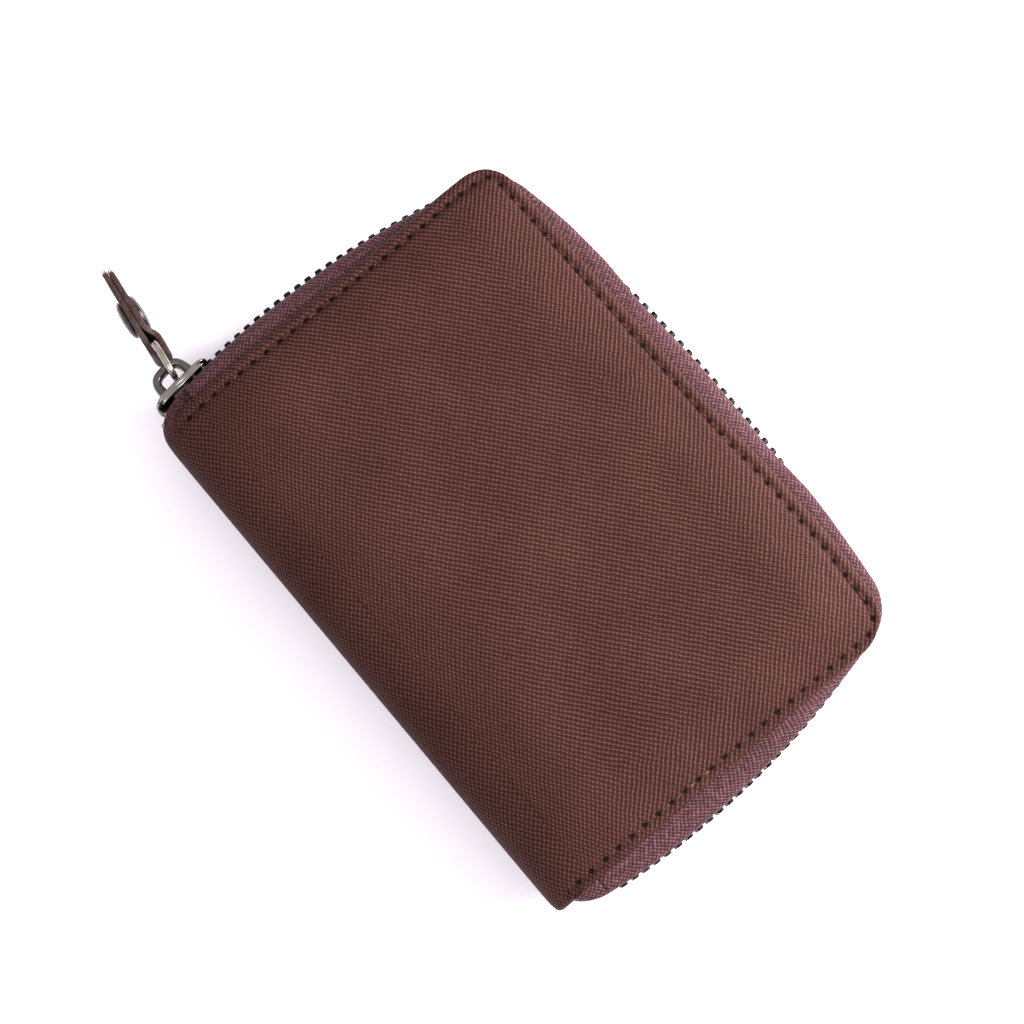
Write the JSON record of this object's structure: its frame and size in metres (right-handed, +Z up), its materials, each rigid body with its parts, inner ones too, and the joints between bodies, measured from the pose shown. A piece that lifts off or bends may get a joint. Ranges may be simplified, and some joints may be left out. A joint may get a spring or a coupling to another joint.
{
  "type": "zip-round wallet",
  "caption": "Soft cloth wallet that opens flat like a book: two padded covers on a fabric spine, closed on three sides by a metal zip with a wire ring and a riveted strap.",
  "frame": {"origin": "middle of the flat outer face of the back cover, on which the wallet lies", "axes": "+Z up through the closed wallet to the front cover, +Y along the spine towards the end where the slider sits, +X from the spine to the opening"},
  "size_m": [0.0872, 0.1536, 0.024],
  "materials": {
    "cover_cloth": "coarse woven brown cloth with pale glints on its floats",
    "zip_tape": "knitted plum brown zip tape",
    "lining_cloth": "plain dark brown lining",
    "stiffener": "dark stiffening board, hidden",
    "foam": "thin brown foam wadding, hidden",
    "dark_metal": "dark gunmetal plating, polished",
    "bright_nickel": "pale nickel plating",
    "strap_skin": "grained brown imitation leather on pale fibre"
  },
  "bodies": {
    "back_half": {"back_cover": "cover_cloth", "back_wadding": "foam", "back_board": "stiffener", "back_lining": "lining_cloth", "card_pocket_1": "lining_cloth", "card_pocket_2": "lining_cloth", "card_pocket_3": "lining_cloth", "back_tape": "zip_tape", "back_teeth": "dark_metal"},
    "spine": {"spine_cover": "cover_cloth", "spine_lining": "lining_cloth", "head_tape_end": "zip_tape", "tail_tape_end": "zip_tape", "front_top_stop": "bright_nickel", "back_top_stop": "bright_nickel", "bottom_stop": "bright_nickel"},
    "front_half": {"front_cover": "cover_cloth", "front_wadding": "foam", "front_board": "stiffener", "front_lining": "lining_cloth", "note_pocket": "lining_cloth", "front_tape": "zip_tape", "front_teeth": "dark_metal"},
    "slider": {"slider_body": "bright_nickel", "slider_crown": "bright_nickel"},
    "pull_ring": {"pull_ring": "bright_nickel"},
    "pull_strap": {"pull_strap": "strap_skin", "rivet_cap": "dark_metal", "rivet_base": "dark_metal"}
  },
  "joints": [
    {"name": "spine_fold", "type": "hinge", "parent": "back_half", "child": "spine", "pos_m": [-0.033, 0, 0.0008], "axis": [0, -1, 0], "range_deg": [0, 90], "deforming": ["front_teeth", "back_teeth"]},
    {"name": "front_fold", "type": "hinge", "parent": "spine", "child": "front_half", "pos_m": [-0.033, 0, 0.0222], "axis": [0, -1, 0], "range_deg": [0, 90]},
    {"name": "slider_travel", "type": "hinge", "parent": "back_half", "child": "slider", "pos_m": [-0.009, -0.1024, 0.0115], "axis": [0, 0, -1], "range_deg": [0, 20.5], "deforming": ["front_teeth", "back_teeth"]},
    {"name": "ring_swing", "type": "hinge", "parent": "slider", "child": "pull_ring", "pos_m": [-0.0322, 0.0646, 0.0115], "axis": [0, 0, -1], "range_deg": [-75, 45]},
    {"name": "strap_swing", "type": "hinge", "parent": "pull_ring", "child": "pull_strap", "pos_m": [-0.03104, 0.07241, 0.01025], "axis": [-0.0231, -0.1547, -0.9877], "range_deg": [-25, 25]}
  ],
  "couplings": [
    {"joint": "front_fold", "follows": "spine_fold", "ratio": 1}
  ]
}
